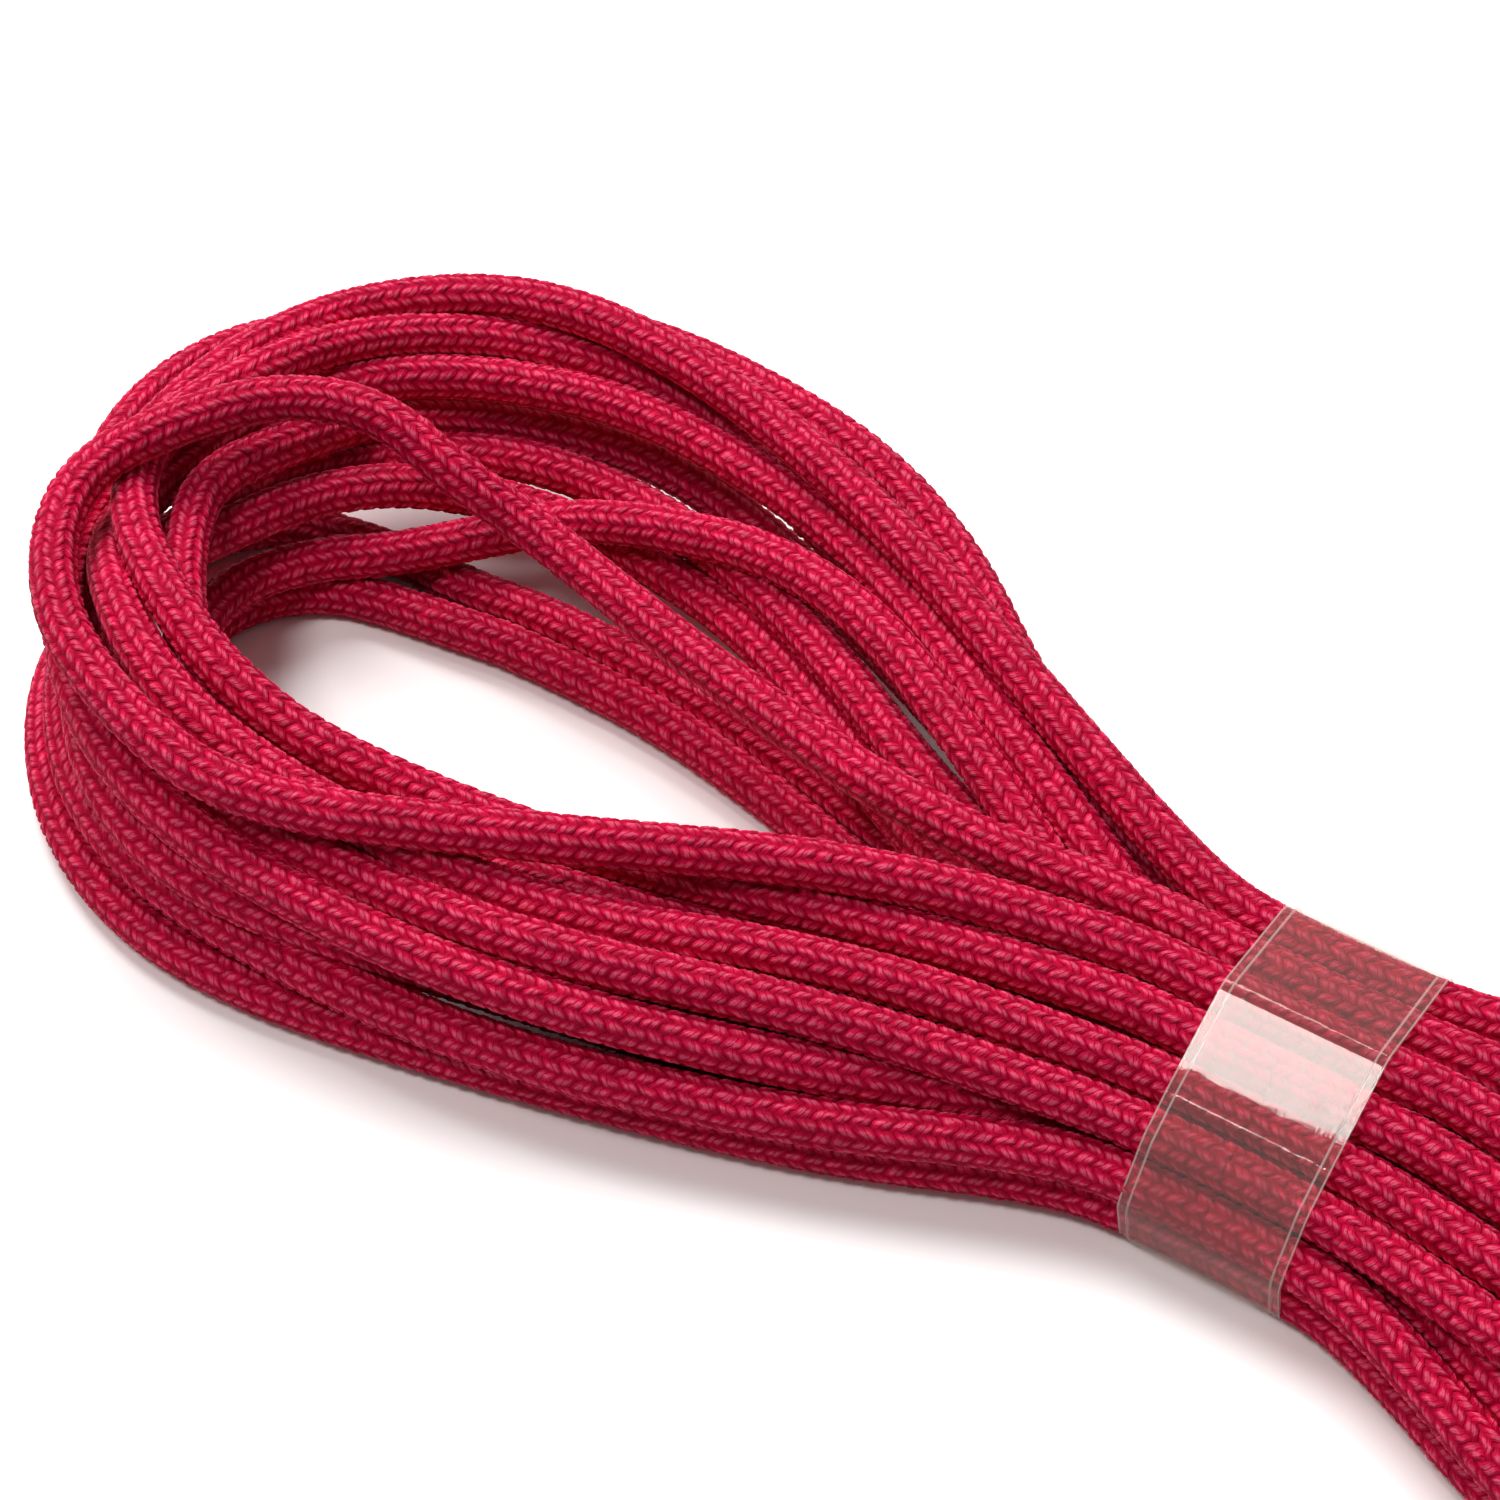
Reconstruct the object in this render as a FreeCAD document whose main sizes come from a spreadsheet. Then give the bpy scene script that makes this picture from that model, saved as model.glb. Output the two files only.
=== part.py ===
import FreeCAD, Part
import math
import os

import Sketcher

# A dynamic climbing rope, wound into a long loose hank and held at its waist by a band of clear tape.
# Millimetres. The hank lies along X, its loops end at -X and +X, +Z is up and Z = 0 is what it lies on.
# X = 0 is the middle of the tape. The rope's two free ends lie inside the loop at +X.

SIZES = {
    # the rope
    "rope_dia": 8.0,
    "sheath_bore": 6.6,
    "core_yarn_dia": 2.06,
    "core_yarn_pitch": 2.1,
    "tracer_dia": 0.76,
    "tracer_pitch": 2.86,
    # centres of the outermost strands in the waist, going round it: Y and Z of each
    "near_low_across": -21.0,
    "near_low_up": 4.5,
    "near_side_across": -22.6,
    "near_side_up": 11.0,
    "near_shoulder_across": -18.0,
    "near_shoulder_up": 18.0,
    "facet_low_across": -12.6,
    "facet_low_up": 21.9,
    "facet_high_across": 1.5,
    "facet_high_up": 30.3,
    "crown_across": 18.0,
    "crown_up": 29.1,
    "far_shoulder_across": 23.0,
    "far_shoulder_up": 20.5,
    "far_low_across": 21.0,
    "far_low_up": 4.5,
    # the tape
    "tape_width": 25.0,
    "film_thickness": 0.25,
    "film_shift": 1.5,
    # the bundle of turns along a loop: how far out, how far across, breadth and height at each station
    "rounding": 0.4,
    "foot_cut": 2.5,
    "root_reach": 28.0,
    "near_root_across": -13.5,
    "near_root_breadth": 26.0,
    "near_root_height": 26.0,
    "neck_reach": 64.0,
    "near_neck_across": -21.5,
    "near_neck_breadth": 42.0,
    "near_neck_height": 30.0,
    "near_throat_reach": 111.0,
    "near_throat_across": -37.5,
    "near_throat_breadth": 41.0,
    "near_throat_height": 32.0,
    "near_belly_reach": 152.0,
    "near_belly_across": -45.0,
    "near_belly_breadth": 38.0,
    "near_belly_height": 36.0,
    "near_bend_reach": 174.5,
    "near_bend_across": -42.5,
    "near_bend_breadth": 34.0,
    "near_bend_height": 39.5,
    "near_corner_reach": 193.0,
    "near_corner_across": -31.0,
    "near_corner_breadth": 30.0,
    "near_corner_height": 43.0,
    "near_end_reach": 207.0,
    "near_end_across": -13.0,
    "near_end_breadth": 27.0,
    "near_end_height": 45.5,
    "loop_end_reach": 212.0,
    "loop_end_across": 5.0,
    "loop_end_breadth": 25.0,
    "loop_end_height": 47.0,
    "far_end_reach": 209.5,
    "far_end_across": 24.0,
    "far_end_breadth": 29.0,
    "far_end_height": 46.0,
    "far_corner_reach": 199.0,
    "far_corner_across": 40.0,
    "far_corner_breadth": 37.0,
    "far_corner_height": 44.0,
    "far_bend_reach": 180.5,
    "far_bend_across": 49.0,
    "far_bend_breadth": 45.0,
    "far_bend_height": 42.0,
    "far_belly_reach": 157.0,
    "far_belly_across": 50.0,
    "far_belly_breadth": 50.0,
    "far_belly_height": 40.0,
    "far_throat_reach": 115.0,
    "far_throat_across": 41.5,
    "far_throat_breadth": 42.0,
    "far_throat_height": 37.0,
    "far_neck_across": 22.0,
    "far_neck_breadth": 43.0,
    "far_neck_height": 34.0,
    "far_root_across": 13.5,
    "far_root_breadth": 26.0,
    "far_root_height": 31.0,
    "tail_parting": 4.5,
    # the free ends: how far out each reaches, and its place across and up
    "tail_a_reach": 103.0,
    "tail_a_across": -0.6,
    "tail_a_up": 4.45,
    "tail_b_reach": 92.0,
    "tail_b_across": 0.7,
    "tail_b_up": 12.6,
    "tip_thickness": 2.0,
    "tip_round": 0.8,
    "sleeve_length": 14.0,
    "sleeve_wall": 0.4,
    "sleeve_slack": 0.05,
}
FREE_ENDS = "ab"
CORE_YARNS_ROUND_THE_CENTRE = 6
WAIST_CORNERS = (
    "near_low",
    "near_side",
    "near_shoulder",
    "facet_low",
    "facet_high",
    "crown",
    "far_shoulder",
    "far_low",
)

doc = FreeCAD.newDocument("climbing_rope_hank")
sheet = doc.addObject("Spreadsheet::Sheet", "sizes")
for row, (name, number) in enumerate(SIZES.items(), start=1):
    sheet.set(f"A{row}", name)
    sheet.set(f"B{row}", str(number))
    sheet.setAlias(f"B{row}", name)
doc.recompute()


def value(expression):
    """What an expression on the sheet's cells comes to."""
    return float(sheet.evalExpression(expression))


def upright(heading):
    """A plane through the origin that stands across a heading: its own X is to the left, its own Y is up."""
    turn = FreeCAD.Rotation(FreeCAD.Vector(0, 0, 1), heading + 90)
    stand = FreeCAD.Rotation(FreeCAD.Vector(1, 0, 0), 90)
    return FreeCAD.Placement(FreeCAD.Vector(), turn.multiply(stand))


def draw_outline(sketch, corners):
    """Draws a closed outline of straight sides. Each corner is the two expressions of its place in the sketch,
    and two dimensions bound to them hold it there."""
    points = [FreeCAD.Vector(value(across), value(up), 0) for across, up in corners]
    sides = [Part.LineSegment(a, b) for a, b in zip(points, points[1:] + points[:1])]
    edges = sketch.addGeometry(sides, False)
    for edge, following in zip(edges, edges[1:] + edges[:1]):
        sketch.addConstraint(Sketcher.Constraint("Coincident", edge, 2, following, 1))
    for edge, point, (across, up) in zip(edges, points, corners):
        for kind, distance, expression in (("DistanceX", point.x, across), ("DistanceY", point.y, up)):
            index = sketch.addConstraint(Sketcher.Constraint(kind, -1, 1, edge, 1, distance))
            sketch.renameConstraint(index, f"size_{index}")
            sketch.setExpression(f"Constraints.size_{index}", expression)


def bundle_section(station, reach, heading, end, parting):
    """The outline of the bundle of turns at a station of a loop: a flat foot, upright sides and a round top, whose
    shoulders are drawn as two straight cuts each.

    end is -1 or 1, for the loop at that end of X. parting says that some of the breadth is given up on the side
    towards the X axis, for the free ends to pass.
    """
    breadth, height = f"sizes.{station}_breadth", f"sizes.{station}_height"
    across = f"sizes.{station}_across"
    if parting:
        side = 1 if value(across) > 0 else -1
        breadth += " - sizes.tail_parting"
        across += f" + {side} * sizes.tail_parting / 2"
    half, foot, top = f"({breadth}) / 2", "sizes.foot_cut", f"sizes.rounding * ({breadth})"
    shoulder = f"{top} * (1 - cos(45))"
    right_half = [
        (f"{half} - {foot}", "0"),
        (half, foot),
        (half, f"{height} - {top}"),
        (f"{half} - {shoulder}", f"{height} - {shoulder}"),
        (f"{half} - {top}", height),
    ]
    left_half = [(f"-({x})", up) for x, up in reversed(right_half)]
    sketch = doc.addObject("Sketcher::SketchObject", f"section_{station}")
    sketch.Placement = upright(heading if end < 0 else 180 - heading)
    sketch.setExpression("Placement.Base.x", f"{end} * sizes.{reach}")
    sketch.setExpression("Placement.Base.y", across)
    draw_outline(sketch, right_half + left_half)
    return sketch


# One loop of the hank: the bundle leaves the waist on the near side, goes round the end and comes back on the
# far side. Each station has the cell of its reach and the bundle's heading there, in degrees, as on the loop
# at -X; the loop at +X is its mirror image.
LOOP_STATIONS = (
    ("near_root", "root_reach", 180),
    ("near_neck", "neck_reach", 194),
    ("near_throat", "near_throat_reach", 193),
    ("near_belly", "near_belly_reach", 176),
    ("near_bend", "near_bend_reach", 157),
    ("near_corner", "near_corner_reach", 135),
    ("near_end", "near_end_reach", 112),
    ("loop_end", "loop_end_reach", 90),
    ("far_end", "far_end_reach", 67),
    ("far_corner", "far_corner_reach", 43),
    ("far_bend", "far_bend_reach", 19),
    ("far_belly", "far_belly_reach", 357),
    ("far_throat", "far_throat_reach", 341),
    ("far_neck", "neck_reach", 342),
    ("far_root", "root_reach", 0),
)


def make_loop(label, end):
    """The bundle of turns round one end of the hank. At +X the free ends pass between its two runs."""
    loop = doc.addObject("Part::Loft", label)
    loop.Sections = [
        bundle_section(station, reach, heading, end, end > 0 and reach in ("root_reach", "neck_reach"))
        for station, reach, heading in LOOP_STATIONS
    ]
    loop.Solid = True
    loop.Ruled = True
    return loop


def waist_outline():
    """The closed line through the centres of the outermost strands of the waist."""
    sketch = doc.addObject("Sketcher::SketchObject", "waist_strand_centres")
    sketch.Placement = upright(0)
    draw_outline(sketch, [(f"sizes.{corner}_across", f"sizes.{corner}_up") for corner in WAIST_CORNERS])
    return sketch


def wrapped_bar(name, centres, outset, length, shift="0"):
    """A bar along X whose outline is drawn taut round the strands, outset from their centres."""
    outline = doc.addObject("Part::Offset2D", f"{name}_outline")
    outline.Source = centres
    outline.Join = "Arc"
    outline.setExpression("Value", outset)
    bar = doc.addObject("Part::Extrusion", name)
    bar.Base = outline
    bar.DirMode = "Custom"
    bar.Dir = FreeCAD.Vector(1, 0, 0)
    bar.Symmetric = True
    bar.Solid = True
    bar.setExpression("LengthFwd", length)
    bar.setExpression("Placement.Base.x", shift)
    return bar


def make_hank(centres):
    """All turns of the rope: the waist, where they lie side by side, and the loop of turns at each end of it."""
    waist = wrapped_bar("waist", centres, "sizes.rope_dia / 2", "2 * sizes.root_reach")
    hank = doc.addObject("Part::MultiFuse", "hank")
    hank.Shapes = [waist, make_loop("left_loop", -1), make_loop("right_loop", 1)]
    hank.Label = "hank"
    return hank


def make_tape(centres):
    """The tape: two layers of film drawn taut round the waist, the outer one a little to one side."""
    inner = wrapped_bar("film_inner", centres, "sizes.rope_dia / 2 + sizes.film_thickness", "sizes.tape_width")
    outer = wrapped_bar(
        "film_outer",
        centres,
        "sizes.rope_dia / 2 + 2 * sizes.film_thickness",
        "sizes.tape_width",
        "sizes.film_shift",
    )
    wound = doc.addObject("Part::Fuse", "film_wound")
    wound.Base = inner
    wound.Tool = outer
    inside = wrapped_bar("film_inside", centres, "sizes.rope_dia / 2", "2 * sizes.root_reach")
    tape = doc.addObject("Part::Cut", "tape_band")
    tape.Base = wound
    tape.Tool = inside
    tape.Label = "tape_band"
    return tape


def rod(name, end, radius, across="0", up="0"):
    """A round bar along a free end, from the root of the loop to the cut, at a place in the rope's section."""
    bar = doc.addObject("Part::Cylinder", name)
    bar.Placement = FreeCAD.Placement(FreeCAD.Vector(), FreeCAD.Rotation(FreeCAD.Vector(0, 1, 0), 90))
    bar.setExpression("Radius", radius)
    bar.setExpression("Height", f"sizes.tail_{end}_reach - sizes.root_reach")
    bar.setExpression("Placement.Base.x", "sizes.root_reach")
    bar.setExpression("Placement.Base.y", f"sizes.tail_{end}_across + {across}")
    bar.setExpression("Placement.Base.z", f"sizes.tail_{end}_up + {up}")
    return bar


def make_core(end):
    """The core: one yarn in the middle, six round it, and the tracer yarn in a groove between two of them."""

    def yarn(label, diameter, pitch="0", angle=0.0):
        piece = rod(label, end, f"{diameter} / 2", f"{pitch} * cos({angle})", f"{pitch} * sin({angle})")
        piece.Label = label
        return piece

    step = 360 / CORE_YARNS_ROUND_THE_CENTRE
    pieces = [yarn(f"core_yarn_{end}1", "sizes.core_yarn_dia")]
    for number in range(CORE_YARNS_ROUND_THE_CENTRE):
        label = f"core_yarn_{end}{number + 2}"
        pieces.append(yarn(label, "sizes.core_yarn_dia", "sizes.core_yarn_pitch", number * step))
    pieces.append(yarn(f"tracer_yarn_{end}", "sizes.tracer_dia", "sizes.tracer_pitch", step / 2))
    return pieces


def make_sheath(end):
    """The braided sheath of a free end, a tube round the core."""
    sheath = doc.addObject("Part::Cut", f"sheath_{end}")
    sheath.Base = rod(f"sheath_outside_{end}", end, "sizes.rope_dia / 2")
    sheath.Tool = rod(f"sheath_bore_{end}", end, "sizes.sheath_bore / 2")
    sheath.Label = f"sheath_{end}"
    return sheath


def revolved(label, end, corners):
    """A body of revolution about a free end's axis. Each corner is the expressions of its place along the rope,
    measured from the cut, and of its radius."""
    body = doc.addObject("PartDesign::Body", label)
    body.Label = label
    sketch = body.newObject("Sketcher::SketchObject", f"half_section_{label}")
    base = [f for f in body.Origin.OriginFeatures if f.Role == "XY_Plane"][0]
    sketch.AttachmentSupport = [(base, "")]
    sketch.MapMode = "FlatFace"
    draw_outline(sketch, corners)
    doc.recompute()
    turned = body.newObject("PartDesign::Revolution", f"revolution_{label}")
    turned.Profile = sketch
    turned.ReferenceAxis = (sketch, ["H_Axis"])
    turned.Angle = 360
    body.Tip = turned
    body.setExpression("Placement.Base.x", f"sizes.tail_{end}_reach")
    body.setExpression("Placement.Base.y", f"sizes.tail_{end}_across")
    body.setExpression("Placement.Base.z", f"sizes.tail_{end}_up")
    return body


def make_fittings(end):
    """What closes a free end: the tip where sheath and core are melted together, and a shrunk-on clear sleeve."""
    radius, thick = "sizes.rope_dia / 2", "sizes.tip_thickness"
    round_start = "sizes.tip_thickness - sizes.tip_round"
    tip_corners = [
        ("0", "0"),
        (thick, "0"),
        (thick, f"{radius} - sizes.tip_round"),
        (round_start, radius),
        ("0", radius),
    ]
    back = f"{round_start} - sizes.sleeve_length"
    inner, outer = f"{radius} + sizes.sleeve_slack", f"{radius} + sizes.sleeve_wall"
    sleeve_corners = [(back, inner), (round_start, inner), (round_start, outer), (back, outer)]
    return [
        revolved(f"fused_tip_{end}", end, tip_corners),
        revolved(f"end_sleeve_{end}", end, sleeve_corners),
    ]


waist_centres = waist_outline()
subparts = [make_hank(waist_centres), make_tape(waist_centres)]
for end in FREE_ENDS:
    subparts.append(make_sheath(end))
    subparts += make_core(end)
    subparts += make_fittings(end)
doc.recompute()

for item in doc.Objects:
    if "Invalid" in item.State or "Error" in item.State:
        raise SystemExit(f"{item.Label} failed: {item.State}")
for part in subparts:
    if part.Shape.isNull() or not part.Shape.isValid():
        raise SystemExit(f"{part.Label} has no valid shape")

# Each free end's sheath: its volume against its section times its length.
sheath_section = math.pi / 4 * value("sizes.rope_dia ^ 2 - sizes.sheath_bore ^ 2")
for end in FREE_ENDS:
    length = value(f"sizes.tail_{end}_reach - sizes.root_reach")
    sheath = next(part for part in subparts if part.Label == f"sheath_{end}")
    print(f"sheath_{end}: {length:.1f} long, volume {sheath.Shape.Volume:.1f}, section by length", end=" ")
    print(f"{sheath_section * length:.1f}")

os.makedirs("parts", exist_ok=True)
for part in subparts:
    part.Shape.exportStep(f"parts/{part.Label}.step")
    box = part.Shape.BoundBox
    print(
        f"{part.Label}: {len(part.Shape.Solids)} solid, volume {part.Shape.Volume:.1f},"
        f" X {box.XMin:.1f} to {box.XMax:.1f}, Y {box.YMin:.1f} to {box.YMax:.1f}, Z {box.ZMin:.2f} to {box.ZMax:.2f}"
    )
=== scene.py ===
import math

import bpy
import numpy as np
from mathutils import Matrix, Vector, kdtree


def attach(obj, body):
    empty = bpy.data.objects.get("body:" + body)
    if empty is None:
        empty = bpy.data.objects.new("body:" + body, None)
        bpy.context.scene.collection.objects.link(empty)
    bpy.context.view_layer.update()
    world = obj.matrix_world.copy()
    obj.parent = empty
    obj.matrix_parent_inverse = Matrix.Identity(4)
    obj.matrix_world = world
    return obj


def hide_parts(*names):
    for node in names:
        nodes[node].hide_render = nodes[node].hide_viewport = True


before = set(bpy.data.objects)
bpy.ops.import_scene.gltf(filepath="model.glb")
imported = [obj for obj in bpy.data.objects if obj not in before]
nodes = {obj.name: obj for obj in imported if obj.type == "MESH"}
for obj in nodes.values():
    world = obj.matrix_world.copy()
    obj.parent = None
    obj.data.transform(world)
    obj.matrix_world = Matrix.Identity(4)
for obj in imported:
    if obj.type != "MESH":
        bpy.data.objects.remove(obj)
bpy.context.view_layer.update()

# A dynamic climbing rope, wound into a long loose hank and held at its waist by a band of clear tape.
# The hank lies along X with the middle of the tape at X = 0; the photographed loop is the one at -X.
# Sizes are in millimetres here, and MM turns them to metres.

MM = 0.001
bpy.ops.object.select_all(action="DESELECT")

# The rope, and the wall inside its braid
ROPE = 8.0
CREST_RADIUS = ROPE / 2 + 0.05
INNER_WALL_RADIUS = 3.26

# The braid: how many carriers lay it, how long a stitch is, how high a bundle is lifted where it lies on
# others, and how much a bundle and a yarn bulge. A yarn leans by this much of a stitch as it crosses a
# wale, and the bundles of one direction lie this much of a stitch ahead of the others.
CARRIERS = 24
WALES = CARRIERS // 2
STITCH = 3.0
FLOAT_LIFT = 0.4
BUNDLE_ROUNDNESS = 0.28
YARN_ROUNDNESS = 0.18
BRAID_DEPTH = FLOAT_LIFT + BUNDLE_ROUNDNESS + YARN_ROUNDNESS
YARN_LEAN = 0.5
BUNDLE_OFFSET = 0.25
# How unevenly the stitches are pulled down, and after how many of them the same unevenness comes back.
SLACK = 0.035
SLACK_ROWS = 997
# How the wales swing about the rope: how far in radians, how many millimetres a radian of the swing takes,
# and where in it the rope starts.
WALE_SWINGS = ((0.9, 310.0, 0.0), (0.6, 508.2, 1.3), (0.12, 83.0, 0.4))

# How fine the meshes are: rings of the sheath a stitch, its columns a wale, and points a span of the rope's
# line, where it is read and where it makes the inner wall.
STEPS_PER_STITCH = 6
STEPS_PER_WALE = 3
READ_RESOLUTION = 32
WALL_RESOLUTION = 8

# How the turns settle: samples a span, rounds, how close two turns' centre lines may come, how low one may
# lie, how many spans of its own line a sample takes no notice of, and how strongly the photographed place
# and shape hold.
SETTLE_STEPS = 6
SETTLE_ROUNDS = 150
CLOSEST = 7.5
LOWEST = 4.1
OWN_SPANS = 3
PULL_BACK = 0.02
STIFFNESS = 0.15

# The tape: where the edges of its two layers lie along the rope, how far a cut edge shows and how strongly,
# where the film's bump starts and ends its dip over the outer turns on the near side, how deep the dip is,
# how deep its draw lines and dents are, and how hazy it is.
FILM_EDGES = (-12.4, -10.9, 12.4, 13.9)
EDGE_REACH = 0.13
EDGE_VEIL = 0.27
BEND_START = -10.5
BEND_END = -15.0
BEND_DEPTH = 0.8
DRAW_DEPTH = 0.03
DENT_DEPTH = 0.1
HAZE = 0.02

# The camera: how far round from the front and how high it stands, how far off, what it looks at, and its lens
EYE_TURN = math.radians(34.0)
EYE_ELEVATION = math.radians(45.0)
EYE_DISTANCE = 586.6
LOOK_AT = (-114.7, 30.0, 0.0)
LENS = 84.0

# The studio, in metres: where the lights look, how wide the floor is, and where it fades to plain white.
# The card of the floor throws back this much of the light, and the camera sees this much.
LIT_PLACE = (-0.05, 0.0, 0.0)
FLOOR_WIDTH = 4.0
FADE_START = 0.4
FADE_END = 1.1
CARD_RETURNS = 0.66
CARD_SEEN = 1.22
CARD_TINT = (1.0, 0.972, 0.962)

# Where the bundle of turns goes round a loop: name, how far out, how far across and the heading in degrees,
# on the loop at -X. The loop at +X is its mirror image.
STATIONS = (
    ("near_root", 28.0, 0.0, 180.0),
    ("near_neck", 64.0, -21.5, 194.0),
    ("near_throat", 111.0, -37.5, 193.0),
    ("near_belly", 152.0, -45.0, 176.0),
    ("near_bend", 174.5, -42.5, 157.0),
    ("near_corner", 193.0, -31.0, 135.0),
    ("near_end", 207.0, -13.0, 112.0),
    ("loop_end", 212.0, 5.0, 90.0),
    ("far_end", 209.5, 24.0, 67.0),
    ("far_corner", 199.0, 40.0, 43.0),
    ("far_bend", 180.5, 49.0, 19.0),
    ("far_belly", 157.0, 50.0, 357.0),
    ("far_throat", 115.0, 41.5, 341.0),
    ("far_neck", 64.0, 22.0, 342.0),
    ("far_root", 28.0, 0.0, 0.0),
)
# Where each turn lies in the bundle at each of those stations: how far towards the loop's outside, and up.
TURNS = {
    "crossing": (
        (-2.4, 30.1), (-16, 31), (-7.5, 31.5), (6, 33.5), (7.5, 38), (12, 41), (10.5, 43), (-2.5, 44),
        (-9, 43), (-17.5, 42), (-23.5, 36), (-19, 26.5), (-20, 24), (-13, 27), (10.2, 29.6),
    ),
    "inner_top": (
        (4.4, 26.7), (-9, 24.5), (-14, 20), (-10.5, 28.5), (-9.5, 36), (-6, 40.5), (2, 39.5), (9.5, 37.5),
        (5, 39.5), (12, 34.3), (19, 31.5), (25, 27), (18.5, 20), (16.5, 22), (21.6, 12),
    ),
    "second_top": (
        (11, 22.8), (-1, 25.5), (1, 24), (-3, 30), (-1.5, 35.5), (1.2, 38), (6, 33), (5.5, 29.5),
        (2.5, 31.5), (5, 31), (11, 28.5), (17, 28), (17.5, 28.5), (8, 29), (12.4, 20.2),
    ),
    "outer_top": (
        (13.4, 11.9), (12, 17.5), (12.4, 21.7), (9, 24.3), (9.5, 27.5), (10.5, 28), (12, 30), (7, 35),
        (7, 40.5), (18, 37), (23.5, 37.5), (23, 35.5), (18.5, 33.5), (14, 30), (18, 28.9),
    ),
    "middle": (
        (17.2, 18.5), (7, 21), (9, 24.5), (3.3, 24.8), (2.5, 27.5), (3, 28.5), (1, 25.5), (-9, 24.5),
        (-10, 21.5), (-11.5, 20.5), (-9, 17.5), (-0.5, 11.5), (-0.5, 14), (-8, 12.5), (3.9, 20.4),
    ),
    "low_middle": (
        (12.4, 4.5), (6, 4.2), (9, 12.5), (13.5, 16.5), (12.5, 19), (10.5, 19.5), (9, 21.5), (2, 20),
        (0, 18), (-1, 19), (3.5, 19), (8, 16), (2, 22), (-5, 20), (12.8, 12),
    ),
    "outside": (
        (21.8, 12.2), (18.5, 11), (17.2, 13), (11.3, 13.2), (12.5, 13.5), (13.5, 12), (11.5, 18), (18.5, 30),
        (24, 31), (21, 31), (29, 29), (29, 32.5), (30, 32), (14, 24), (21.4, 20.4),
    ),
    "floor_outer": (
        (21, 4.5), (18, 4.2), (15.6, 4.2), (16.8, 4.2), (16.9, 4.2), (17.8, 4.2), (18.3, 4.2), (13.5, 4.2),
        (8, 4.2), (-10, 4.2), (-18.5, 4.4), (-17, 5.5), (-10.5, 4.2), (-4, 4.5), (12.4, 4.5),
    ),
    "inner_high": (
        (4.3, 19.2), (-8, 17), (-9, 21.5), (-8.5, 26), (-7, 29.5), (-8.5, 33), (-7.5, 32), (-3.5, 33),
        (-5, 32), (5, 24), (14, 17), (22.5, 12), (18, 8), (15, 5), (20.6, 4.5),
    ),
    "inner_low": (
        (5.2, 11.8), (-7, 10.5), (-17, 12), (-15, 14.5), (-9, 14), (-6, 14), (-6.5, 13), (-9, 11.5),
        (-14.5, 9.5), (-18.5, 10), (-13, 12.5), (-1, 18.5), (9.3, 27), (0.5, 26.5), (3.9, 12),
    ),
    "floor_inner": (
        (4.2, 4.5), (-11, 4.2), (-15, 4.2), (-12, 4.2), (-9, 4.2), (-7, 4.2), (-3, 4.5), (-5, 4.5),
        (-14, 4.2), (-25, 4.2), (-27.5, 4.2), (-25, 4.2), (-18.5, 4.2), (-13, 4.2), (4.1, 4.5),
    ),
}
WINDING = (
    "floor_inner", "floor_outer", "outside", "outer_top", "inner_top", "crossing",
    "second_top", "inner_high", "middle", "low_middle", "inner_low",
)
# How far a turn has changed to the next turn's places, at the stations of the loop at +X where it changes.
CHANGE = {"far_end": 0.2, "loop_end": 0.5, "near_end": 0.8}
# The turns lie parallel under the tape, this far to either side of its middle, and then fan out by this
# much.
WAIST_REACH = 14.0
ROOT_FAN = 1.15
FREE_END_A = ((103.0, -0.6, 4.45), (28.0, -0.6, 4.45))
FREE_END_B = ((28.0, 0.7, 12.6), (92.0, 0.7, 12.6))


def colour(code):
    """A colour written as sRGB hex, as the linear values that the renderer works in."""
    channels = [int(code[i:i + 2], 16) / 255 for i in (1, 3, 5)]
    return [c / 12.92 if c <= 0.04045 else ((c + 0.055) / 1.055) ** 2.4 for c in channels] + [1.0]


def add(tree, kind, inputs=None, **settings):
    """Adds a node to a material. inputs gives its sockets, by name or number, values or outputs of others."""
    made = tree.nodes.new(kind)
    for name, setting in settings.items():
        setattr(made, name, setting)
    for name, given in (inputs or {}).items():
        if isinstance(given, bpy.types.NodeSocket):
            tree.links.new(given, made.inputs[name])
        else:
            made.inputs[name].default_value = given
    return made


def new_material(name):
    """An empty material with its output node."""
    material = bpy.data.materials.new(name)
    material.use_nodes = True
    tree = material.node_tree
    tree.nodes.clear()
    return material, tree, tree.nodes.new("ShaderNodeOutputMaterial")


# The rope's centre line

def loop_point(index, outward, up, end):
    """A turn's point at a station of the loop at that end of X, -1 or 1."""
    name, reach, across, heading = STATIONS[index]
    if name == "near_root":
        return end * reach, -outward * ROOT_FAN, up
    if name == "far_root":
        return end * reach, outward * ROOT_FAN, up
    side = math.radians(heading + 90)
    return end * (reach - outward * math.cos(side)), across + outward * math.sin(side), up


def rope_points():
    """The points of the rope's line, from free end A round every turn of both loops to free end B."""
    points = list(FREE_END_A)
    last = len(STATIONS) - 1
    for number, turn in enumerate(WINDING):
        places = TURNS[turn]
        near, far = places[0], places[last]
        if number:
            points.append((WAIST_REACH, -near[0], near[1]))
        points.append((-WAIST_REACH, -near[0], near[1]))
        points += [loop_point(i, *places[i], -1) for i in range(last + 1)]
        points.append((-WAIST_REACH, far[0], far[1]))
        if turn == WINDING[-1]:
            break
        points.append((WAIST_REACH, far[0], far[1]))
        following = TURNS[WINDING[number + 1]]
        changed = 0.0
        for i in range(last, -1, -1):
            name = STATIONS[i][0]
            changed = CHANGE.get(name, 0.0 if changed == 0.0 else 1.0)
            place = [a + (b - a) * changed for a, b in zip(places[i], following[i])]
            points.append(loop_point(i, *place, 1))
    return np.array(points + list(FREE_END_B), float)


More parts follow.
